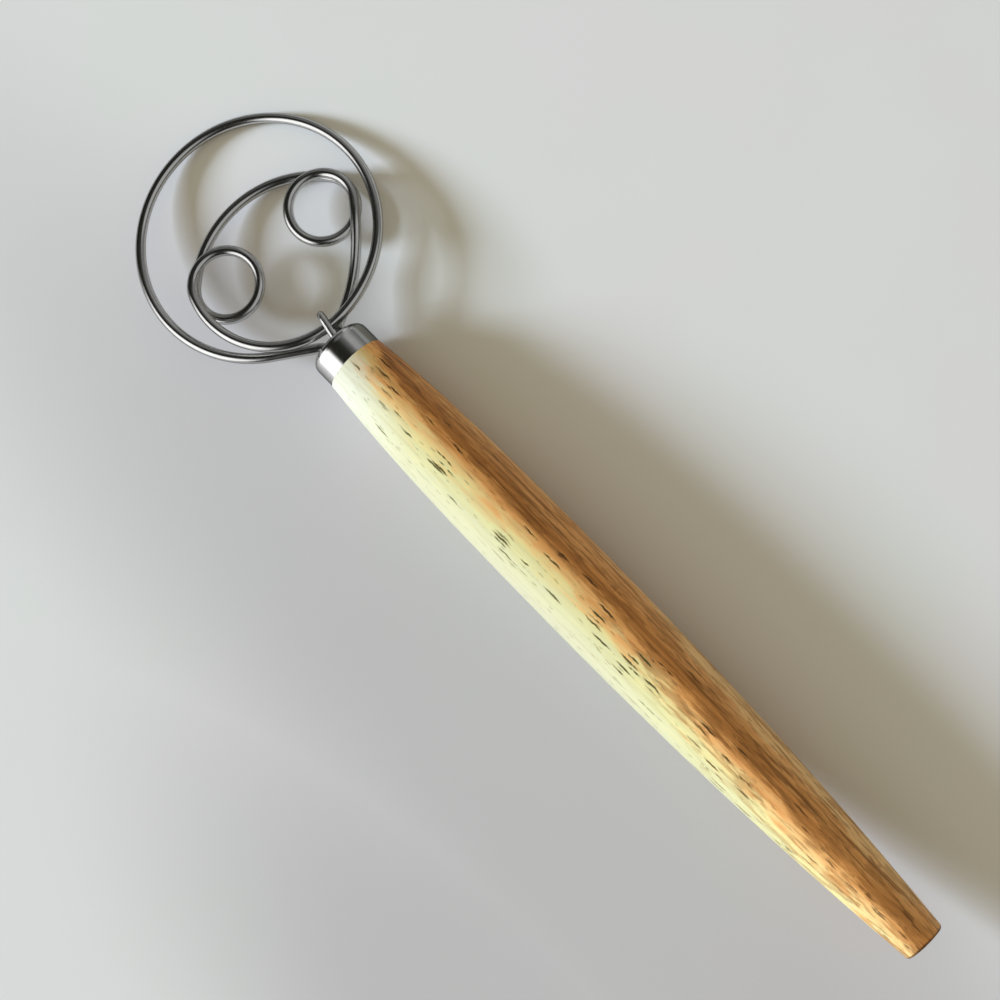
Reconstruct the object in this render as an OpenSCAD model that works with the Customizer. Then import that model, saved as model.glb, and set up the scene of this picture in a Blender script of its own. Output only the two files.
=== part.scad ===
// Dough whisk: one bent wire head, a keeper hook, a ferrule and a turned wooden handle.
// Millimetres, +Z up, +X from the wire head towards the butt of the handle.
// The whisk lies as it rests on a table: on the handle's belly and on one side of the ring.
// Its sub-parts are drawn on the handle's own axis, from the ferrule's front face, and then laid down.

/* [Wire head] */
// Diameter of the head's wire
wire_d = 3.3; // [2.4:0.1:4]
// Outside diameter of the ring
ring_od = 82.6; // [74:0.2:92]
// Distance from the ferrule's face to the middle of the wire where the ring passes it
ring_gap = 5.25; // [5:0.05:7]
// Angle of the head to one side of the handle's axis, in degrees
head_yaw = 7.7; // [0:0.1:12]
// Angle at which the head droops below the handle's axis, in degrees
head_droop = 4.8; // [0:0.1:10]
// Length of the short bend in which the droop begins
droop_bend = 6; // [4:0.5:8]
// Bend radius of the wire where it leaves the ferrule
leg_bend_r = 3.2; // [2.5:0.1:4]
// Straight wire between the ferrule's face and the first bend
leg_lead = 0.6; // [0.2:0.1:2]
// Depth of the wire's ends behind the ferrule's face
leg_set = 26; // [18:0.5:32]
// Sideways place of the leg that starts the ring
leg_a_y = -3.5; // [-4:0.1:-3]
// Height of the leg that starts the ring
leg_a_z = -1.6; // [-2:0.1:0]
// Sideways place of the leg that ends the inner loop
leg_b_y = 3.9; // [3.7:0.1:4.2]
// Height of the leg that ends the inner loop
leg_b_z = -2.6; // [-3:0.1:-2.4]

/* [Inner loop] */
// Radius of the wire's centre line round each small coil
coil_r = 10.9; // [9:0.1:12]
// Distance between the middles of the two small coils
coil_span = 38.8; // [34:0.1:42]
// Direction from one small coil to the other, in degrees
coil_dir = 84; // [78:0.5:90]
// Radius of the arc that leaves the ring and reaches the first coil
near_arc_r = 29.3; // [27:0.1:31]
// Radius of the arc between the coils
far_arc_r = 36; // [33:0.1:39]
// Radius of the long arc from the second coil back to the ferrule
side_arc_r = 75; // [60:1:100]
// Direction in which the ring's wire passes the ferrule, from the ring's middle
cross_at = -2; // [-4:0.5:0]
// Direction in which the near arc meets the first coil
coil_a_at = -109; // [-114:0.5:-104]
// Direction in which the second coil lets the side arc go
coil_b_at = 54; // [48:0.5:60]
// Gap between two turns of wire that lie over one another
turn_gap = 0.7; // [0.5:0.05:1.2]

/* [Keeper hook] */
// Diameter of the hook's wire
hook_d = 2.4; // [1.8:0.1:2.6]
// Gap between the hook and the wire that it holds
hook_gap = 0.1; // [0.05:0.01:0.3]
// Reach of the middle of the hook's bend in front of the ferrule
hook_reach = 6.6; // [6:0.1:8]
// Sideways place of the hook at the ferrule's face
hook_y = 0.95; // [0.7:0.05:1.1]
// Angle of the hook to the handle's axis, in degrees
hook_yaw = 11; // [6:0.5:12]
// Depth of the hook's legs behind the ferrule's face
hook_set = 8; // [6:0.5:9]

/* [Ferrule] */
// Outside diameter of the ferrule
ferrule_d = 20.3; // [19:0.1:24]
// Length of the ferrule
ferrule_l = 9.5; // [8:0.5:16]
// Thickness of its sheet
ferrule_t = 0.8; // [0.5:0.1:1.2]
// Outside radius of its drawn front edge
ferrule_round = 2.8; // [2:0.1:3]

/* [Handle] */
// Length from the ferrule's face to the butt
handle_l = 250; // [200:1:300]
// Diameter of the wood where it meets the ferrule
neck_d = 20.6; // [19.4:0.1:25]
// Diameter of the belly, the thickest place
belly_d = 26.9; // [24:0.1:34]
// Distance from the ferrule's face to the belly
belly_x = 95; // [80:1:120]
// Diameter of the butt
butt_d = 13.6; // [12:0.1:18]
// Radius of the butt's rounded edge
butt_round = 0.8; // [0.5:0.1:2]
// How late the wood narrows behind the belly
tail_power = 2.25; // [2:0.05:3]
// How late the wood narrows in front of the belly
neck_power = 2.6; // [2:0.05:3]

/* [Socket] */
// Diameter of the socket that holds the wire's ends
socket_d = 13.2; // [13:0.1:13.6]
// Depth of wood left bare behind the wire's ends
socket_spare = 4; // [2:0.5:8]
// Gap between two pieces that are glued or pressed together
fit_gap = 0.08; // [0.05:0.01:0.15]
// How far the adhesive lies behind the ferrule's face
plug_recess = 0.3; // [0.1:0.1:0.6]

/* [Rest] */
// Distance from the ferrule's face to the place where the belly carries the whisk
balance_x = 62; // [50:1:80]

/* [Hidden] */

// Fineness of round solids, and of the wire: its sides and the arc of one step in degrees
$fn = 96;
wire_sides = 12;
ring_step = 5;
coil_step = 12;
profile_steps = 12;
edge_steps = 5;

wire_r = wire_d / 2;
ring_r = (ring_od - wire_d) / 2;
hook_r = hook_d / 2;
socket_r = socket_d / 2;
tenon_r = ferrule_d / 2 - ferrule_t - fit_gap;
shoulder_x = ferrule_l + fit_gap;
socket_end = leg_set + socket_spare;
high = (wire_d + turn_gap) / 2;
low = -high;

function along(angle) = [cos(angle), sin(angle)];
function bearing(from, to) = atan2(to.y - from.y, to.x - from.x);
function ease(t) = t <= 0 ? 0 : t >= 1 ? 1 : t * t * (3 - 2 * t);

// Centres of the head's arcs, on the handle's axis frame seen from above
ring_c = -(ring_r + ring_gap) * along(-head_yaw);
near_c = ring_c + (ring_r - near_arc_r) * along(cross_at);
coil_a_c = near_c + (near_arc_r - coil_r) * along(coil_a_at);
coil_b_c = coil_a_c + coil_span * along(coil_dir);
far_off = sqrt(pow(far_arc_r - coil_r, 2) - pow(coil_span / 2, 2));
far_c = (coil_a_c + coil_b_c) / 2 + far_off * along(coil_dir - 90);
side_c = coil_b_c - (side_arc_r - coil_r) * along(coil_b_at);

// The bend that turns the first leg towards the ring, and the line that touches bend and ring
bend_a_c = [-leg_lead, leg_a_y - leg_bend_r];
start_heading = bearing(bend_a_c, ring_c) + asin((leg_bend_r + ring_r) / norm(ring_c - bend_a_c));

// The bend that turns the side arc into the last leg
bend_b_y = leg_b_y + leg_bend_r;
bend_b_c = [side_c.x + sqrt(pow(side_arc_r + leg_bend_r, 2) - pow(bend_b_y - side_c.y, 2)), bend_b_y];
side_end = bearing(side_c, bend_b_c);

// Points of an arc without its last one, its height easing from z0 to z1 between shares t0 and t1
function arc(c, r, a0, a1, step, z0, z1, t0 = 0, t1 = 1) =
    let (n = ceil(abs(a1 - a0) / step))
    [for (i = [0:n - 1])
        let (t = i / n, a = a0 + (a1 - a0) * t)
        [c.x + r * cos(a), c.y + r * sin(a), z0 + (z1 - z0) * ease((t - t0) / (t1 - t0))]];

far_from = bearing(far_c, coil_a_c) + 360;
far_to = bearing(far_c, coil_b_c);

// The whole wire in one run, from the socket round the ring, the two coils and back
flat_path = concat(
    [[leg_set, leg_a_y, leg_a_z]],
    arc(bend_a_c, leg_bend_r, 90, start_heading - 90, coil_step, leg_a_z, leg_a_z),
    [concat(bend_a_c + leg_bend_r * along(start_heading - 90), leg_a_z)],
    arc(ring_c, ring_r, start_heading - 270, cross_at - 360, ring_step, leg_a_z, high, 0.05, 0.92),
    arc(near_c, near_arc_r, cross_at, coil_a_at, ring_step, high, high),
    arc(coil_a_c, coil_r, coil_a_at, far_from - 720, coil_step, high, low, 0.2, 0.8),
    arc(far_c, far_arc_r, far_from, far_to, ring_step, low, low),
    arc(coil_b_c, coil_r, far_to, coil_b_at - 360, coil_step, low, high, 0.25, 0.75),
    arc(side_c, side_arc_r, coil_b_at, side_end, ring_step, high, leg_b_z, 0.05, 0.75),
    arc(bend_b_c, leg_bend_r, side_end + 180, 270, coil_step, leg_b_z, leg_b_z),
    [[bend_b_c.x, leg_b_y, leg_b_z], [leg_set, leg_b_y, leg_b_z]]);

// The head droops along a short bend in front of the ferrule and runs straight beyond it
function droop(x) =
    x >= 0 ? 0 : x > -droop_bend ? -tan(head_droop) * x * x / (2 * droop_bend) :
    tan(head_droop) * (x + droop_bend / 2);

wire_path = [for (p = flat_path) [p.x, p.y, p.z + droop(p.x)]];

// Least gap of the wire to itself, between points that lie further apart along it than four diameters
last = len(wire_path) - 1;
run = [for (i = 0, s = 0; i <= last;
        s = s + (i < last ? norm(wire_path[i + 1] - wire_path[i]) : 0), i = i + 1) s];
self_gap = min([for (i = [0:last], j = [i + 1:1:last])
    if (run[j] - run[i] > 4 * wire_d) norm(wire_path[i] - wire_path[j])]) - wire_d;
echo(str("least gap of the wire to itself: ", self_gap, " mm"));

// Radius and slope of the turned handle at a distance from the ferrule's face
belly_r = belly_d / 2;
neck_fall = (belly_d - neck_d) / 2;
tail_fall = (belly_d - butt_d) / 2;
function handle_r(x) = x < belly_x ?
    belly_r - neck_fall * pow((belly_x - x) / (belly_x - shoulder_x), neck_power) :
    belly_r - tail_fall * pow((x - belly_x) / (handle_l - belly_x), tail_power);
handle_stations = concat(
    [for (i = [0:profile_steps]) shoulder_x + (belly_x - shoulder_x) * i / profile_steps],
    [for (i = [1:profile_steps]) belly_x + (handle_l - butt_round - belly_x) * i / profile_steps]);

// How the whisk lies: tilted so that its belly is level under the balance point, rolled onto the ring
rest_tilt = atan((handle_r(balance_x + 0.5) - handle_r(balance_x - 0.5)));
belly_low = min([for (x = handle_stations) x * sin(rest_tilt) - handle_r(x) * cos(rest_tilt)]);
function lie(p, roll) =
    let (y = p.y * cos(roll) + p.z * sin(roll), z = p.z * cos(roll) - p.y * sin(roll))
    [p.x * cos(rest_tilt) - z * sin(rest_tilt), y, p.x * sin(rest_tilt) + z * cos(rest_tilt)];
function wire_low(roll) = min([for (p = wire_path) lie(p, roll).z]) - wire_r;
function find_roll(a, b, tries) =
    let (m = (a + b) / 2)
    tries == 0 ? m : wire_low(m) > belly_low ? find_roll(m, b, tries - 1) : find_roll(a, m, tries - 1);
rest_roll = find_roll(-10, 40, 20);

// The origin is under the middle of the whisk, on the table
lain_wire = [for (p = wire_path) lie(p, rest_roll)];
butt_edge_x = lie([handle_l, 0, -(butt_d / 2 - butt_round)], 0).x;
low_x = min([for (p = lain_wire) p.x]) - wire_r;
low_y = min([for (p = lain_wire) p.y]) - wire_r;
high_y = max([for (p = lain_wire) p.y]) + wire_r;
rest_shift = [-(low_x + butt_edge_x) / 2, -(low_y + high_y) / 2, -belly_low];

module at_rest() {
    translate(rest_shift)
        rotate([-rest_roll, -rest_tilt, 0])
            children();
}

// A solid turned about the handle's axis, from points that give distance and radius
module turned(points) {
    rotate([0, 90, 0])
        rotate_extrude()
            polygon([for (p = points) [p.y, p.x]]);
}

// A round rod along the handle's axis direction
module rod(r, from, to) {
    translate([from, 0, 0])
        rotate([0, 90, 0])
            cylinder(r = r, h = to - from);
}

// Points of a rounded edge on a turned outline, about a centre
function rounded(c, r, a0, a1) =
    [for (i = [0:edge_steps]) c + r * along(a0 + (a1 - a0) * i / edge_steps)];

// A tube swept along a path that stays nearly level
module tube(path, r, sides) {
    n = len(path);
    rings = [for (i = [0:n - 1])
        let (
            ahead = path[min(i + 1, n - 1)],
            behind = path[max(i - 1, 0)],
            forward = (ahead - behind) / norm(ahead - behind),
            across = cross([0, 0, 1], forward) / norm(cross([0, 0, 1], forward)),
            upward = cross(forward, across))
        for (k = [0:sides - 1])
            path[i] + r * (cos(360 * k / sides) * across + sin(360 * k / sides) * upward)];
    skin = [for (i = [0:n - 2], k = [0:sides - 1])
        let (a = i * sides + k, b = i * sides + (k + 1) % sides)
        each [[a, a + sides, b], [b, a + sides, b + sides]]];
    first_cap = [for (k = [1:sides - 2]) [0, k, k + 1]];
    end = (n - 1) * sides;
    last_cap = [for (k = [1:sides - 2]) [end, end + k + 1, end + k]];
    polyhedron(points = rings, faces = concat(skin, first_cap, last_cap));
}

module wood_handle() {
    tenon_x = ferrule_t + fit_gap;
    tenon_edge = ferrule_round - ferrule_t + fit_gap;
    socket_open_r = socket_r + fit_gap;
    color("burlywood")
        turned(concat(
            [[tenon_x, socket_open_r],
             [tenon_x, tenon_r - tenon_edge],
             [tenon_x + tenon_edge, tenon_r],
             [shoulder_x, tenon_r]],
            [for (x = handle_stations) [x, handle_r(x)]],
            rounded([handle_l - butt_round, butt_d / 2 - butt_round], butt_round, 80, 0),
            [[handle_l, 0],
             [socket_end + fit_gap, 0],
             [socket_end + fit_gap, socket_open_r]]));
}

module ferrule() {
    r = ferrule_d / 2;
    mouth_r = socket_r + fit_gap;
    inner_round = ferrule_round - ferrule_t;
    edge_c = [ferrule_round, r - ferrule_round];
    color("silver")
        turned(concat(
            [[0, mouth_r]],
            rounded(edge_c, ferrule_round, 180, 90),
            [[ferrule_l, r],
             [ferrule_l, r - ferrule_t]],
            rounded(edge_c, inner_round, 90, 180),
            [[ferrule_t, mouth_r]]));
}

// The hook's legs lie above and below the wire that passes the ferrule
hook_bend_r = wire_r + hook_gap + hook_r;
hook_z = high + droop(-hook_reach);

module on_hook() {
    translate([0, hook_y, hook_z])
        rotate([0, 0, -hook_yaw])
            children();
}

module hook_legs(r, reach, depth) {
    for (side = [-1, 1])
        translate([0, 0, side * hook_bend_r])
            rod(r, -reach, depth);
}

module keeper_hook() {
    color("silver")
        on_hook() {
            hook_legs(hook_r, hook_reach, hook_set);
            translate([-hook_reach, 0, 0])
                rotate([90, 0, 0])
                    rotate([0, 0, 90])
                        rotate_extrude(angle = 180)
                            translate([hook_bend_r, 0])
                                circle(r = hook_r);
        }
}

module adhesive_plug() {
    color("dimgray")
        difference() {
            rod(socket_r, plug_recess, socket_end);
            for (leg = [[leg_a_y, leg_a_z], [leg_b_y, leg_b_z]])
                translate([0, leg.x, leg.y])
                    rod(wire_r + fit_gap, 0, leg_set + fit_gap);
            on_hook()
                hook_legs(hook_r + fit_gap, hook_reach, hook_set + fit_gap);
        }
}

module whisk_wire() {
    color("silver")
        tube(wire_path, wire_r, wire_sides);
}

at_rest() wood_handle();
at_rest() ferrule();
at_rest() adhesive_plug();
at_rest() whisk_wire();
at_rest() keeper_hook();
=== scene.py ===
"""Looks of the dough whisk: smooth wire and hook, procedural materials, a floor, lights and a camera.

Everything is in metres in the model's own frame. The pieces are first drawn in millimetres on the handle's
axis and then laid down, as in the model's source. That "tool frame" has its origin in the middle of the
ferrule's face and +X to the butt.
"""
import math

import bpy
from mathutils import Matrix, Vector


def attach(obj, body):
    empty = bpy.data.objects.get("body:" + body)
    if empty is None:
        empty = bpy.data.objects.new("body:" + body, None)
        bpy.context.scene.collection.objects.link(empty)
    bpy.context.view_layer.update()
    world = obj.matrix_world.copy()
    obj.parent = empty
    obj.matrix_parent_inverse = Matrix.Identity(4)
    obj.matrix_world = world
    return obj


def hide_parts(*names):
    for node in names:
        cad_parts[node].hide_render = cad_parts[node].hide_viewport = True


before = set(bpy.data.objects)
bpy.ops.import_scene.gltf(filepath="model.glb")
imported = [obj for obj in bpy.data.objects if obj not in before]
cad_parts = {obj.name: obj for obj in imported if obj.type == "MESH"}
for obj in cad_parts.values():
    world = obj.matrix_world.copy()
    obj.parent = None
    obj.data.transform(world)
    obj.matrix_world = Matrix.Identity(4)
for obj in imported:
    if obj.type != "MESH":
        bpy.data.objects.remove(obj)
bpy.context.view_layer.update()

MM = 0.001

# How the whisk lies: tilt and roll in degrees, then the shift of the ferrule's face in millimetres
REST_TILT = 1.1993
REST_ROLL = 6.0516
REST_SHIFT = (-82.2258, -5.60362, 11.8803)

# The wire head, in millimetres and degrees, as in the model's source
WIRE_D = 3.3
RING_OD = 82.6
RING_GAP = 5.25
HEAD_YAW = 7.7
HEAD_DROOP = 4.8
DROOP_BEND = 6.0
LEG_BEND_R = 3.2
LEG_LEAD = 0.6
LEG_SET = 26.0
LEG_A = (-3.5, -1.6)
LEG_B = (3.9, -2.6)
COIL_R = 10.9
COIL_SPAN = 38.8
COIL_DIR = 84.0
NEAR_ARC_R = 29.3
FAR_ARC_R = 36.0
SIDE_ARC_R = 75.0
CROSS_AT = -2.0
COIL_A_AT = -109.0
COIL_B_AT = 54.0
TURN_GAP = 0.7

WIRE_R = WIRE_D / 2
RING_R = (RING_OD - WIRE_D) / 2
HIGH = (WIRE_D + TURN_GAP) / 2
LOW = -HIGH

# Shares of an arc between which its height changes
RING_RISE = (0.05, 0.92)
COIL_A_FALL = (0.2, 0.8)
COIL_B_RISE = (0.25, 0.75)
SIDE_FALL = (0.05, 0.75)

# Fineness of the drawn wire: length of a step, least steps of an arc, sides
WIRE_STEP = 0.6
ARC_STEPS = 8
WIRE_SIDES = 24

# The keeper hook, in millimetres and degrees, as in the model's source
HOOK_D = 2.4
HOOK_GAP = 0.1
HOOK_REACH = 6.6
HOOK_Y = 0.95
HOOK_YAW = 11.0
HOOK_SET = 8.0
HOOK_BEND_STEPS = 24

HOOK_R = HOOK_D / 2
HOOK_BEND_R = WIRE_R + HOOK_GAP + HOOK_R

# The camera of the photograph in the tool frame, in millimetres, and its lens
CAMERA_AT = (177.42, 2.89, 545.44)
CAMERA_LOOK = (-0.19019, -0.00132, -0.98175)
CAMERA_UP = (-0.69984, 0.70149, 0.13464)
CAMERA_LENS = 65.9
CAMERA_SENSOR = 36.0
CAMERA_CLIP = 0.01

# Steels: light and dark colour, roughness and what the smears add to it
WIRE_STEEL = ((0.66, 0.66, 0.65), (0.52, 0.52, 0.51), 0.12, 0.12)
HOOK_STEEL = ((0.74, 0.74, 0.73), (0.64, 0.64, 0.63), 0.26, 0.08)
FERRULE_STEEL = ((0.82, 0.82, 0.81), (0.70, 0.70, 0.69), 0.12, 0.08)
# Steel mirrors less at a very flat angle
EDGE_TINT = (0.25, 0.25, 0.24, 1)
# Scale and detail of the noise for smears and for fine specks, then the specks' relief: strength and metres
SMEARS = (0.25, 4.0)
SPECKS = (3.0, 2.0)
SPECK_RELIEF = (0.08, 0.00005)
# The ferrule is painted darker on one side, a painted shade that stands in for a dark reflection there: where
# that starts and is full, in millimetres, and its weight at both
PAINTED_SHADE_STEEL = (0.25, 0.25, 0.24)
FERRULE_PAINTED_SHADE = (4.5, 8.0, 0.0, 0.86)

# Wood across the grain, from the bark side in: cream sapwood, amber edge, brown heart, tan beyond
WOOD_BANDS = (
    (0.000, (0.57, 0.51, 0.35)),
    (0.200, (0.61, 0.555, 0.34)),
    (0.340, (0.68, 0.605, 0.31)),
    (0.430, (0.80, 0.64, 0.29)),
    (0.510, (0.88, 0.560, 0.235)),
    (0.590, (0.92, 0.485, 0.185)),
    (0.650, (0.74, 0.330, 0.104)),
    (0.700, (0.47, 0.185, 0.048)),
    (0.780, (0.51, 0.208, 0.057)),
    (0.880, (0.73, 0.352, 0.128)),
    (0.940, (0.74, 0.380, 0.155)),
    (1.000, (0.86, 0.560, 0.280)),
)
HEART_EDGE = (0.22, 0.080, 0.018)
SAP_LINE = (0.47, 0.40, 0.20)
NECK_CREAM = (0.67, 0.64, 0.54)
MOTTLE = (0.30, 0.115, 0.028)
HEART_ORANGE = (0.82, 0.35, 0.11)
PORE = (0.085, 0.070, 0.020)
HEART_PORE = (0.12, 0.050, 0.014)
# The end grain soaks up the oil: its growth layers darken the wood's colour by these shares
END_EARLY = (0.48, 0.42, 0.34)
END_LATE = (0.24, 0.20, 0.15)

# Heart value: it rises across the handle by 1 in so many millimetres, shifts along it, and wanders.
# From minus to plus the limit it runs through all the bands.
HEART_WIDTH = 13.0
HEART_SHIFTS = (
    (105, 230, 0.0, 0.52),
    (6, 30, -0.38, 0.0),
)
HEART_WANDERS = (
    ((0.02, 0.05, 0.05), 2.0, 0.35),
    ((0.045, 0.5, 0.5), 4.0, 0.45),
    ((0.16, 1.1, 1.1), 2.0, 0.35),
)
HEART_LIMIT = 1.05
# The dark figure ripens towards the butt
RIPE_SHIFT = (100, 170, 0.0, 0.5)

# Noises stretched along the grain: scale, detail and distortion
GRAIN_NOISES = {
    "lines": ((0.02, 0.85, 0.85), 4.0, 0.3),
    "blush": ((0.05, 0.25, 0.25), 3.0, 0.0),
    "figure": ((0.10, 0.9, 0.9), 4.0, 0.0),
    "mottle": ((0.07, 0.42, 0.42), 5.0, 0.8),
    "clumps": ((0.035, 0.16, 0.16), 2.0, 0.0),
    "layers": ((0.0, 2.2, 0.15), 4.0, 0.0),
}

# Stains over the bands: colour, weight and the smooth steps over fields of the wood that bound it
IN_HEART = ("heart", 0.0, 0.3)
STAINS = (
    (NECK_CREAM, 0.75, (("x", 50, 12), ("heart", 0.08, -0.25))),
    (HEART_EDGE, 0.75, (("lines", 0.53, 0.66), IN_HEART)),
    (SAP_LINE, 0.22, (("lines", 0.50, 0.64), ("heart", 0.1, -0.2))),
    (HEART_ORANGE, 0.45, (("lines", 0.47, 0.34), IN_HEART)),
    (HEART_ORANGE, 0.7, (("blush", 0.50, 0.64), ("heart", -0.5, 0.0), ("heart", 0.6, 0.2))),
    (HEART_EDGE, 0.55, (("figure", 0.50, 0.68), ("ripe", -0.1, 0.5, 0.15, 1.0))),
    (MOTTLE, 0.45, (("mottle", 0.49, 0.60), ("ripe", -0.1, 0.4))),
)

# Pores: length and width of a cell in millimetres and the share of the cells that hold one
PORES = (13.0, 1.3, 0.85)
PORE_ZONE = (
    ("clumps", 0.38, 0.50),
    ("heart", -0.85, -0.45),
    ("heart", 1.1, 0.4),
    ("x", 150, 240, 1.0, 0.8),
)
BROWN_PORES = ("x", 140, 210)
SMALL_PORES = (4.5, 0.9, 0.25)
SMALL_PORE_DEPTH = 0.35
CELL_RANDOMNESS = 0.9
LENS_EDGE = (0.36, 0.16)
# Scale and detail of the noise that bends the pores' rows
PORE_BEND = (0.35, 2.0)
END_LAYERS = ("layers", 0.38, 0.62)
END_GRAIN = ("x", 249.0, 249.7)

LINE_HEIGHT = 0.3
LINE_ROUGHNESS = 0.15
WOOD_ROUGHNESS = 0.42
WOOD_GLOSS = 0.3
# Strength of the wood's relief and its depth in metres
WOOD_RELIEF = (0.3, 0.0002)

ADHESIVE_COLOURS = ((0.05, 0.045, 0.04), (0.11, 0.10, 0.085))
ADHESIVE_LUMPS = (0.8, 3.0)
ADHESIVE_ROUGHNESS = 0.35
ADHESIVE_RELIEF = (0.5, 0.0003)

# Painted shade on the floor, darker round spots that are stretched along the handle near the whisk: the
# shaded colour, the plain colour, then each spot's centre in metres and stretch
FLOOR_PAINTED_SHADE = ((0.545, 0.502, 0.530), (0.542, 0.509, 0.530))
FLOOR_FAR = ((0.744, 0.696, 0.724), (0.735, 0.708, 0.721))
PAINTED_SHADE_SPOTS = (
    ((0.09, -0.058, 0.0), 4.5),
    ((0.10, -0.125, 0.0), 2.0),
)
# Distances in metres over which the painted shade fades into the plain floor
PAINTED_SHADE_FADE = (0.02, 0.10)
FLOOR_CLOUDS = (12.0, 3.0)
CLOUD_EDGE = (0.35, 0.65)
FLOOR_ROUGHNESS = 0.45
FLOOR_HALF = 3.0

# The window: azimuth and elevation in degrees, distance and size in metres, power in watts and colour
WINDOW_DIRECTION = (181, 18)
WINDOW_DISTANCE = 8.0
WINDOW_SIZE = (1.9, 1.7)
WINDOW_POWER = 1265.0
WINDOW_COLOUR = (0.72, 0.87, 1.0)

# What steel mirrors of the room, by soft patches: azimuth, elevation, half-width in degrees and brightness
ROOM_DARK = (0.014, 0.014, 0.012)
ROOM_PATCHES = (
    (213, 26, 30, 1.7),
    (340, 50, 30, 0.50),
    (45, 8, 42, 0.22),
    (95, 30, 25, 0.16),
)
# How far a patch fades, outside and inside its edge, in cosines
PATCH_FADE = (-0.10, 0.06)
# What lights everything else, and what a camera sees past the floor
FILL = (0.468, 0.447, 0.320)
PALE_BACKDROP = (0.66, 0.66, 0.655)

# Sockets of a Mix node for colours
MIX_FACTOR = 0
MIX_A = 6
MIX_B = 7


def laid_down():
    """Matrix from the tool frame in millimetres to the model's frame in metres."""
    tilt = Matrix.Rotation(math.radians(-REST_TILT), 4, "Y")
    roll = Matrix.Rotation(math.radians(-REST_ROLL), 4, "X")
    return Matrix.Scale(MM, 4) @ Matrix.Translation(REST_SHIFT) @ tilt @ roll


LAY = laid_down()


def along(angle):
    """Unit vector in the head's plane at an angle in degrees."""
    return Vector((math.cos(math.radians(angle)), math.sin(math.radians(angle))))


def bearing(start, end):
    """Angle in degrees from one point of the head's plane to another."""
    return math.degrees(math.atan2(end.y - start.y, end.x - start.x))


def ease(share):
    """Smooth step from 0 to 1."""
    share = min(max(share, 0.0), 1.0)
    return share * share * (3 - 2 * share)


def droop(x):
    """Height that the drooping head has at a distance in front of the ferrule's face."""
    slope = math.tan(math.radians(HEAD_DROOP))
    if x >= 0:
        return 0.0
    if x > -DROOP_BEND:
        return -slope * x * x / (2 * DROOP_BEND)
    return slope * (x + DROOP_BEND / 2)


def arc(centre, radius, start, end, z0, z1, shares=(0.0, 1.0)):
    """Points of an arc without its last one. The height eases from z0 to z1 between two shares of the arc."""
    length = abs(math.radians(end - start)) * radius
    count = max(ARC_STEPS, round(length / WIRE_STEP))
    points = []
    for i in range(count):
        share = i / count
        spot = centre + radius * along(start + (end - start) * share)
        height = z0 + (z1 - z0) * ease((share - shares[0]) / (shares[1] - shares[0]))
        points.append(Vector((spot.x, spot.y, height)))
    return points


def straight(start, end):
    """Points of a straight run without its last one."""
    count = max(1, round((end - start).length / WIRE_STEP))
    return [start.lerp(end, i / count) for i in range(count)]


def wire_path():
    """The whole wire from one end in the socket, round the ring and the two coils, and back to the socket."""
    ring_c = -(RING_R + RING_GAP) * along(-HEAD_YAW)
    near_c = ring_c + (RING_R - NEAR_ARC_R) * along(CROSS_AT)
    coil_a_c = near_c + (NEAR_ARC_R - COIL_R) * along(COIL_A_AT)
    coil_b_c = coil_a_c + COIL_SPAN * along(COIL_DIR)
    far_off = math.sqrt((FAR_ARC_R - COIL_R) ** 2 - (COIL_SPAN / 2) ** 2)
    far_c = (coil_a_c + coil_b_c) / 2 + far_off * along(COIL_DIR - 90)
    side_c = coil_b_c - (SIDE_ARC_R - COIL_R) * along(COIL_B_AT)

    bend_a_c = Vector((-LEG_LEAD, LEG_A[0] - LEG_BEND_R))
    lean = math.degrees(math.asin((LEG_BEND_R + RING_R) / (ring_c - bend_a_c).length))
    start_heading = bearing(bend_a_c, ring_c) + lean

    bend_b_y = LEG_B[0] + LEG_BEND_R
    reach = math.sqrt((SIDE_ARC_R + LEG_BEND_R) ** 2 - (bend_b_y - side_c.y) ** 2)
    bend_b_c = Vector((side_c.x + reach, bend_b_y))
    side_end = bearing(side_c, bend_b_c)

    far_from = bearing(far_c, coil_a_c) + 360
    far_to = bearing(far_c, coil_b_c)

    leg_a_end = Vector((LEG_SET, *LEG_A))
    leg_b_end = Vector((LEG_SET, *LEG_B))
    bend_a_end = bend_a_c + LEG_BEND_R * along(start_heading - 90)
    ring_start = ring_c + RING_R * along(start_heading - 270)
    flat = []
    flat += straight(leg_a_end, Vector((bend_a_c.x, *LEG_A)))
    flat += arc(bend_a_c, LEG_BEND_R, 90, start_heading - 90, LEG_A[1], LEG_A[1])
    flat += straight(Vector((*bend_a_end, LEG_A[1])), Vector((*ring_start, LEG_A[1])))
    flat += arc(ring_c, RING_R, start_heading - 270, CROSS_AT - 360, LEG_A[1], HIGH, RING_RISE)
    flat += arc(near_c, NEAR_ARC_R, CROSS_AT, COIL_A_AT, HIGH, HIGH)
    flat += arc(coil_a_c, COIL_R, COIL_A_AT, far_from - 720, HIGH, LOW, COIL_A_FALL)
    flat += arc(far_c, FAR_ARC_R, far_from, far_to, LOW, LOW)
    flat += arc(coil_b_c, COIL_R, far_to, COIL_B_AT - 360, LOW, HIGH, COIL_B_RISE)
    flat += arc(side_c, SIDE_ARC_R, COIL_B_AT, side_end, HIGH, LEG_B[1], SIDE_FALL)
    flat += arc(bend_b_c, LEG_BEND_R, side_end + 180, 270, LEG_B[1], LEG_B[1])
    flat += straight(Vector((bend_b_c.x, *LEG_B)), leg_b_end)
    flat.append(leg_b_end)
    return [Vector((p.x, p.y, p.z + droop(p.x))) for p in flat]


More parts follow.
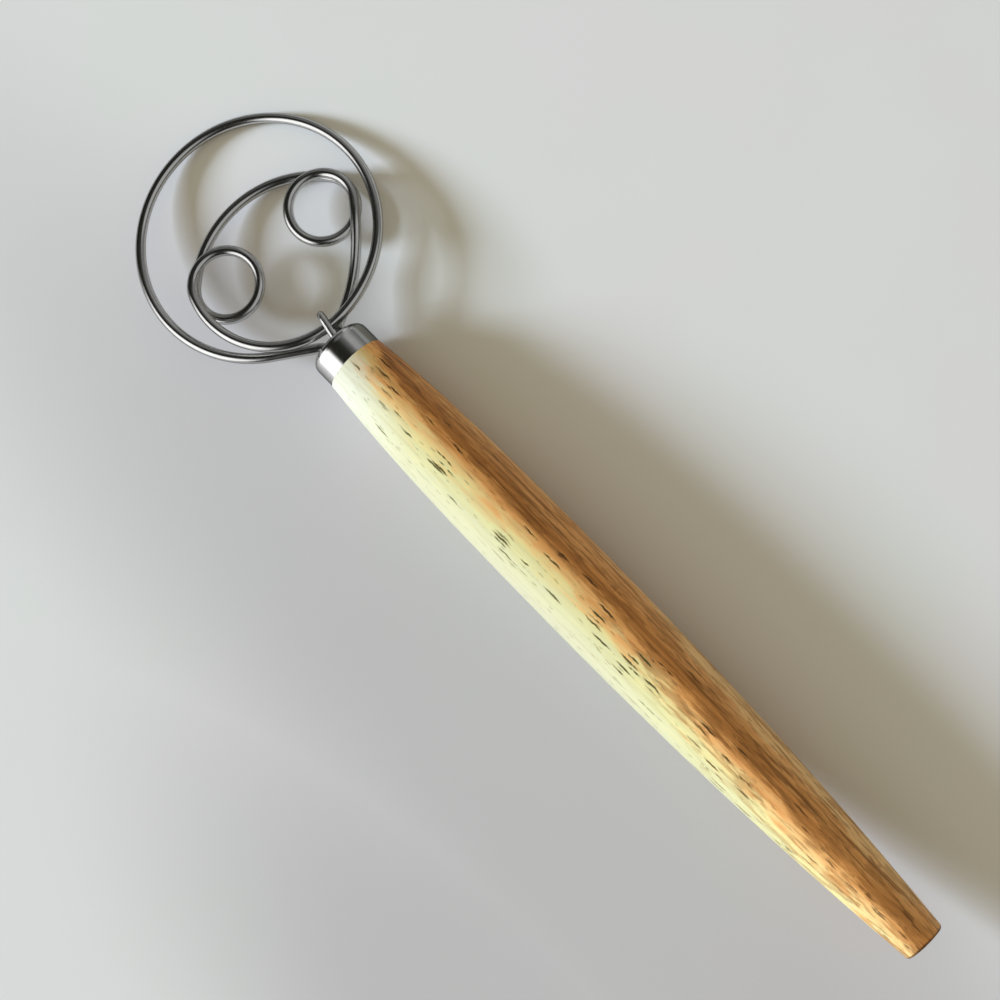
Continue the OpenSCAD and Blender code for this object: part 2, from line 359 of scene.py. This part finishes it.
def new_piece(name, verts, faces, material):
    """A smooth steel piece of the whisk, laid down from the tool frame, riding on the only body."""
    mesh = bpy.data.meshes.new(name)
    mesh.from_pydata([LAY @ v for v in verts], [], faces)
    mesh.materials.append(material)
    for polygon in mesh.polygons:
        polygon.use_smooth = True
    piece = bpy.data.objects.new(name, mesh)
    bpy.context.scene.collection.objects.link(piece)
    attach(piece, "root")
    return piece


def tube(path, radius, reference):
    """Vertices and faces of a closed tube along a path that is never parallel to the reference."""
    verts = []
    faces = []
    last = len(path) - 1
    for i, point in enumerate(path):
        forward = (path[min(i + 1, last)] - path[max(i - 1, 0)]).normalized()
        across = reference.cross(forward).normalized()
        upward = forward.cross(across)
        for k in range(WIRE_SIDES):
            turn = math.tau * k / WIRE_SIDES
            verts.append(point + radius * (math.cos(turn) * across + math.sin(turn) * upward))
    for i in range(last):
        for k in range(WIRE_SIDES):
            a = i * WIRE_SIDES + k
            b = i * WIRE_SIDES + (k + 1) % WIRE_SIDES
            faces.append((a, b, b + WIRE_SIDES, a + WIRE_SIDES))
    faces.append(tuple(range(WIRE_SIDES))[::-1])
    faces.append(tuple(range(last * WIRE_SIDES, (last + 1) * WIRE_SIDES)))
    return verts, faces


def wire_piece(material):
    """The bent wire, smoother than the solid that it takes the place of."""
    verts, faces = tube(wire_path(), WIRE_R, Vector((0, 0, 1)))
    piece = new_piece("wire_head", verts, faces, material)
    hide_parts("whisk_wire")


def hook_piece(material):
    """The keeper hook: two legs out of the ferrule's mouth and a round bend over the wire."""
    height = HIGH + droop(-HOOK_REACH)
    yaw = Matrix.Rotation(math.radians(-HOOK_YAW), 4, "Z")
    place = Matrix.Translation((0, HOOK_Y, height)) @ yaw
    leg_end = Vector((HOOK_SET, 0, -HOOK_BEND_R))
    path = straight(Vector((HOOK_SET, 0, HOOK_BEND_R)), Vector((-HOOK_REACH, 0, HOOK_BEND_R)))
    for i in range(HOOK_BEND_STEPS):
        spot = HOOK_BEND_R * along(90 + 180 * i / HOOK_BEND_STEPS)
        path.append(Vector((spot.x - HOOK_REACH, 0, spot.y)))
    path += straight(Vector((-HOOK_REACH, 0, -HOOK_BEND_R)), leg_end)
    path.append(leg_end)
    verts, faces = tube(path, HOOK_R, Vector((0, 1, 0)))
    piece = new_piece("hook_staple", [place @ v for v in verts], faces, material)
    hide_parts("keeper_hook")


class Nodes:
    """A short way to build a node material or world."""

    def __init__(self, tree):
        self.tree = tree
        tree.nodes.clear()

    def add(self, kind, inputs, **settings):
        """A new node with its settings and with values or links for its inputs."""
        node = self.tree.nodes.new(kind)
        for key, value in settings.items():
            setattr(node, key, value)
        for key, value in inputs.items():
            self.feed(node, key, value)
        return node

    def feed(self, node, key, value):
        """Link an input to a socket, or set its value."""
        socket = node.inputs[key]
        if isinstance(value, bpy.types.NodeSocket):
            self.tree.links.new(value, socket)
        else:
            socket.default_value = value

    def math(self, operation, a, b):
        return self.add("ShaderNodeMath", {0: a, 1: b}, operation=operation).outputs[0]

    def times(self, a, b):
        return self.math("MULTIPLY", a, b)

    def plus(self, a, b):
        return self.math("ADD", a, b)

    def vector_math(self, operation, a, b):
        return self.add("ShaderNodeVectorMath", {0: a, 1: b}, operation=operation).outputs[0]

    def coordinates(self, kind):
        return self.add("ShaderNodeTexCoord", {}).outputs[kind]

    def ramp(self, factor, stops):
        """Colour by a factor from stops of position and colour."""
        node = self.add("ShaderNodeValToRGB", {"Fac": factor})
        ramp = node.color_ramp
        while len(ramp.elements) < len(stops):
            ramp.elements.new(0.5)
        for element, (position, colour) in zip(ramp.elements, stops):
            element.position = position
            element.color = (*colour, 1)
        return node.outputs["Color"]

    def mix(self, factor, a, b):
        """Colour a where the factor is 0 and b where it is 1."""
        node = self.add("ShaderNodeMix", {MIX_FACTOR: factor}, data_type="RGBA")
        for key, value in ((MIX_A, a), (MIX_B, b)):
            self.feed(node, key, value if isinstance(value, bpy.types.NodeSocket) else (*value, 1))
        return node.outputs[2]

    def map_range(self, value, low, high, out_low, out_high, interpolation):
        inputs = {"Value": value, "From Min": low, "From Max": high, "To Min": out_low, "To Max": out_high}
        return self.add("ShaderNodeMapRange", inputs, interpolation_type=interpolation).outputs[0]

    def span(self, value, low, high, out_low=0.0, out_high=1.0):
        """Smooth step of a value from low to high."""
        return self.map_range(value, low, high, out_low, out_high, "SMOOTHSTEP")

    def noise(self, vector, scale, detail, distortion=0.0, output="Fac"):
        inputs = {"Vector": vector, "Scale": scale, "Detail": detail, "Distortion": distortion}
        return self.add("ShaderNodeTexNoise", inputs).outputs[output]

    def grain_noise(self, place, stretch, detail, distortion=0.0):
        """Noise with its own scale along each axis of the tool frame."""
        return self.noise(self.vector_math("MULTIPLY", place, stretch), 1.0, detail, distortion)


def new_material(name):
    """A material and its empty node tree."""
    material = bpy.data.materials.new(name)
    material.use_nodes = True
    return material, Nodes(material.node_tree)


def finish_material(nodes, inputs, height=None, relief=None):
    """Shader with its inputs, and output. A height becomes a relief of the given strength and depth."""
    shader = nodes.add("ShaderNodeBsdfPrincipled", inputs)
    if height is not None:
        strength, depth = relief
        bump = nodes.add("ShaderNodeBump", {"Height": height, "Strength": strength, "Distance": depth})
        nodes.feed(shader, "Normal", bump.outputs[0])
    nodes.add("ShaderNodeOutputMaterial", {"Surface": shader.outputs[0]})


def tool_coordinates(nodes):
    """Position in the tool frame, in millimetres, as a vector socket."""
    place = nodes.coordinates("Object")
    shifted = nodes.vector_math("SUBTRACT", place, tuple(v * MM for v in REST_SHIFT))
    untilt_inputs = {"Vector": shifted, "Angle": math.radians(REST_TILT)}
    untilted = nodes.add("ShaderNodeVectorRotate", untilt_inputs, rotation_type="Y_AXIS").outputs[0]
    unroll_inputs = {"Vector": untilted, "Angle": math.radians(REST_ROLL)}
    unrolled = nodes.add("ShaderNodeVectorRotate", unroll_inputs, rotation_type="X_AXIS").outputs[0]
    return nodes.add("ShaderNodeVectorMath", {0: unrolled, "Scale": 1 / MM}, operation="SCALE").outputs[0]


def steel_material(name, steel, painted_shade_span=None):
    """Polished steel with faint smears and specks, and with one side painted darker as painted shade where a
    span for that is given.
    """
    light, dark, roughness, smear_roughness = steel
    material, nodes = new_material(name)
    place = tool_coordinates(nodes)
    smears = nodes.noise(place, *SMEARS)
    specks = nodes.noise(place, *SPECKS)
    colour = nodes.mix(smears, light, dark)
    if painted_shade_span:
        # Painted shade: the steel's colour goes darker across one side of the piece
        across = nodes.add("ShaderNodeSeparateXYZ", {0: place}).outputs["Y"]
        colour = nodes.mix(nodes.span(across, *painted_shade_span), colour, PAINTED_SHADE_STEEL)
    rough = nodes.plus(nodes.times(smears, smear_roughness), roughness)
    inputs = {"Base Color": colour, "Roughness": rough, "Metallic": 1.0, "Specular Tint": EDGE_TINT}
    finish_material(nodes, inputs, specks, SPECK_RELIEF)
    return material


def masked(nodes, fields, steps):
    """Product of smooth steps, each over one of the wood's fields."""
    mask = None
    for field, *ends in steps:
        share = nodes.span(fields[field], *ends)
        mask = share if mask is None else nodes.times(mask, share)
    return mask


def heart_value(nodes, place, x, y):
    """How deep in the wood a point lies: low in the sapwood, high in the heart, wandering along it."""
    heart = nodes.times(y, 1 / HEART_WIDTH)
    for shift in HEART_SHIFTS:
        heart = nodes.plus(heart, nodes.span(x, *shift))
    for stretch, detail, amount in HEART_WANDERS:
        grey = nodes.grain_noise(place, stretch, detail)
        heart = nodes.plus(heart, nodes.times(nodes.math("SUBTRACT", grey, 0.5), amount))
    return heart


def wood_fields(nodes, place):
    """What the wood's colours go by: place along the handle, heart value and the noises along the grain."""
    split = nodes.add("ShaderNodeSeparateXYZ", {0: place})
    x = split.outputs["X"]
    heart = heart_value(nodes, place, x, split.outputs["Y"])
    fields = {"x": x, "heart": heart, "ripe": nodes.plus(heart, nodes.span(x, *RIPE_SHIFT))}
    for name, settings in GRAIN_NOISES.items():
        fields[name] = nodes.grain_noise(place, *settings)
    return fields


def flecks(nodes, place, length, width, share):
    """Mask of pores: a lens along the grain in a share of the cells."""
    cells = nodes.vector_math("MULTIPLY", place, (1 / length, 1 / width, 1 / width))
    inputs = {"Vector": cells, "Scale": 1.0, "Randomness": CELL_RANDOMNESS}
    cell = nodes.add("ShaderNodeTexVoronoi", inputs)
    lens = nodes.span(cell.outputs["Distance"], *LENS_EDGE)
    chance = nodes.add("ShaderNodeSeparateColor", {0: cell.outputs["Color"]}).outputs[0]
    return nodes.times(lens, nodes.math("LESS_THAN", chance, share))


def pore_mask(nodes, place, fields):
    """Long dark pores in clumps between sapwood and heart, and faint small ones everywhere."""
    bent = nodes.vector_math("ADD", place, nodes.noise(place, *PORE_BEND, output="Color"))
    pores = nodes.times(flecks(nodes, bent, *PORES), masked(nodes, fields, PORE_ZONE))
    small = nodes.times(flecks(nodes, bent, *SMALL_PORES), SMALL_PORE_DEPTH)
    return nodes.math("MAXIMUM", pores, small)


def wood_colour(nodes, fields, pores):
    """Bands across the grain, the stains over them, the pores, and the darker end grain at the butt."""
    across = nodes.map_range(fields["heart"], -HEART_LIMIT, HEART_LIMIT, 0.0, 1.0, "LINEAR")
    colour = nodes.ramp(across, WOOD_BANDS)
    for tint, weight, steps in STAINS:
        colour = nodes.mix(nodes.times(masked(nodes, fields, steps), weight), colour, tint)
    brown = nodes.math("MAXIMUM", masked(nodes, fields, [IN_HEART]), masked(nodes, fields, [BROWN_PORES]))
    colour = nodes.mix(pores, colour, nodes.mix(brown, PORE, HEART_PORE))
    shade = nodes.mix(masked(nodes, fields, [END_LAYERS]), END_EARLY, END_LATE)
    end_grain = nodes.vector_math("MULTIPLY", colour, shade)
    return nodes.mix(masked(nodes, fields, [END_GRAIN]), colour, end_grain)


def wood_material():
    """Turned hardwood with its grain along the handle."""
    material, nodes = new_material("handle_wood")
    place = tool_coordinates(nodes)
    fields = wood_fields(nodes, place)
    pores = pore_mask(nodes, place, fields)
    colour = wood_colour(nodes, fields, pores)
    height = nodes.math("SUBTRACT", nodes.times(fields["lines"], LINE_HEIGHT), pores)
    rough = nodes.plus(nodes.times(fields["lines"], LINE_ROUGHNESS), WOOD_ROUGHNESS)
    inputs = {"Base Color": colour, "Roughness": rough, "Metallic": 0.0, "Specular IOR Level": WOOD_GLOSS}
    finish_material(nodes, inputs, height, WOOD_RELIEF)
    return material


def adhesive_material():
    """Dark lumpy set adhesive."""
    material, nodes = new_material("set_adhesive")
    lumps = nodes.noise(tool_coordinates(nodes), *ADHESIVE_LUMPS)
    colour = nodes.mix(lumps, *ADHESIVE_COLOURS)
    inputs = {"Base Color": colour, "Roughness": ADHESIVE_ROUGHNESS, "Metallic": 0.0}
    finish_material(nodes, inputs, lumps, ADHESIVE_RELIEF)
    return material


def dress_node(name, material):
    """Give a node that is carried over from the model its material."""
    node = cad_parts[name]
    node.data.materials.clear()
    node.data.materials.append(material)


def shade_spot_distance(nodes, place, centre, stretch):
    """Distance on the floor from a painted shade spot that is stretched along the handle."""
    inputs = {"Vector": place, "Location": centre, "Scale": (stretch, 1.0, 1.0)}
    spot = nodes.add("ShaderNodeMapping", inputs, vector_type="TEXTURE").outputs[0]
    return nodes.add("ShaderNodeVectorMath", {0: spot}, operation="LENGTH").outputs["Value"]


def floor_material():
    """Pale floor, with painted shade round the spots near the whisk."""
    material, nodes = new_material("floor")
    place = nodes.coordinates("Object")
    cloud = nodes.span(nodes.noise(place, *FLOOR_CLOUDS), *CLOUD_EDGE)
    shaded_floor = nodes.mix(cloud, *FLOOR_PAINTED_SHADE)
    far = nodes.mix(cloud, *FLOOR_FAR)
    distances = [shade_spot_distance(nodes, place, *spot) for spot in PAINTED_SHADE_SPOTS]
    nearest_shade_spot = nodes.math("MINIMUM", *distances)
    # Painted shade: the floor's colour darkens towards the spots along the whisk
    colour = nodes.mix(nodes.span(nearest_shade_spot, *PAINTED_SHADE_FADE), shaded_floor, far)
    finish_material(nodes, {"Base Color": colour, "Roughness": FLOOR_ROUGHNESS, "Metallic": 0.0})
    return material


def floor_piece():
    """The floor that the whisk lies on."""
    mesh = bpy.data.meshes.new("floor")
    corners = [(x * FLOOR_HALF, y * FLOOR_HALF, 0) for x, y in ((-1, -1), (1, -1), (1, 1), (-1, 1))]
    mesh.from_pydata(corners, [], [(0, 1, 2, 3)])
    mesh.materials.append(floor_material())
    floor = bpy.data.objects.new("floor", mesh)
    bpy.context.scene.collection.objects.link(floor)


def tool_direction(vector):
    """Unit vector in the model's frame from a direction in the tool frame."""
    return (LAY.to_3x3() @ Vector(vector)).normalized()


def from_picture(azimuth, elevation):
    """Direction towards a point of the room, by azimuth from the picture's right edge and elevation."""
    look = tool_direction(CAMERA_LOOK)
    up = tool_direction(CAMERA_UP)
    right = look.cross(up).normalized()
    floor_right = Vector((right.x, right.y, 0)).normalized()
    floor_up = Vector((up.x, up.y, 0)).normalized()
    turned = along(azimuth)
    raised = along(elevation)
    level = floor_right * turned.x + floor_up * turned.y
    return (level * raised.x + Vector((0, 0, raised.y))).normalized()


def window_light():
    """The one large window that lights the scene. Steel mirrors the room's patches in its place."""
    data = bpy.data.lights.new("window", "AREA")
    data.shape = "RECTANGLE"
    data.size, data.size_y = WINDOW_SIZE
    data.energy = WINDOW_POWER
    data.color = WINDOW_COLOUR
    light = bpy.data.objects.new("window", data)
    towards_light = from_picture(*WINDOW_DIRECTION)
    light.location = towards_light * WINDOW_DISTANCE
    light.rotation_euler = towards_light.to_track_quat("Z", "Y").to_euler()
    light.visible_glossy = False
    bpy.context.scene.collection.objects.link(light)


def room_colour(nodes):
    """Soft bright patches on a dark room, by direction."""
    direction = nodes.coordinates("Generated")
    brightness = None
    for azimuth, elevation, half_width, strength in ROOM_PATCHES:
        towards = tuple(from_picture(azimuth, elevation))
        dot = nodes.add("ShaderNodeVectorMath", {0: direction, 1: towards}, operation="DOT_PRODUCT")
        edge = math.cos(math.radians(half_width))
        outside, inside = (edge + fade for fade in PATCH_FADE)
        patch = nodes.span(dot.outputs["Value"], outside, inside, 0.0, strength)
        brightness = patch if brightness is None else nodes.plus(brightness, patch)
    patches = nodes.add("ShaderNodeCombineColor", {0: brightness, 1: brightness, 2: brightness}).outputs[0]
    return nodes.vector_math("ADD", patches, ROOM_DARK)


def room():
    """The world: a fill light, the room that steel mirrors, and a pale backdrop for the camera."""
    world = bpy.data.worlds.new("room")
    world.use_nodes = True
    bpy.context.scene.world = world
    nodes = Nodes(world.node_tree)
    rays = nodes.add("ShaderNodeLightPath", {})
    colour = nodes.mix(rays.outputs["Is Glossy Ray"], FILL, room_colour(nodes))
    colour = nodes.mix(rays.outputs["Is Camera Ray"], colour, PALE_BACKDROP)
    background = nodes.add("ShaderNodeBackground", {"Color": colour, "Strength": 1.0})
    nodes.add("ShaderNodeOutputWorld", {"Surface": background.outputs[0]})


def camera():
    """The camera of the photograph, carried along with the whisk as it lies."""
    data = bpy.data.cameras.new("camera")
    data.lens = CAMERA_LENS
    data.sensor_width = CAMERA_SENSOR
    data.sensor_fit = "HORIZONTAL"
    data.clip_start = CAMERA_CLIP
    view = bpy.data.objects.new("camera", data)
    look = tool_direction(CAMERA_LOOK)
    right = look.cross(tool_direction(CAMERA_UP)).normalized()
    up = right.cross(look)
    turn = Matrix((right, up, -look)).transposed().to_4x4()
    view.matrix_world = Matrix.Translation(LAY @ Vector(CAMERA_AT)) @ turn
    bpy.context.scene.collection.objects.link(view)
    bpy.context.scene.camera = view


def main():
    bpy.context.scene.view_settings.view_transform = "Standard"
    camera()
    floor_piece()
    window_light()
    room()
    wire_piece(steel_material("wire_steel", WIRE_STEEL))
    hook_piece(steel_material("hook_steel", HOOK_STEEL))
    dress_node("wood_handle", wood_material())
    dress_node("ferrule", steel_material("ferrule_steel", FERRULE_STEEL, FERRULE_PAINTED_SHADE))
    dress_node("adhesive_plug", adhesive_material())


main()
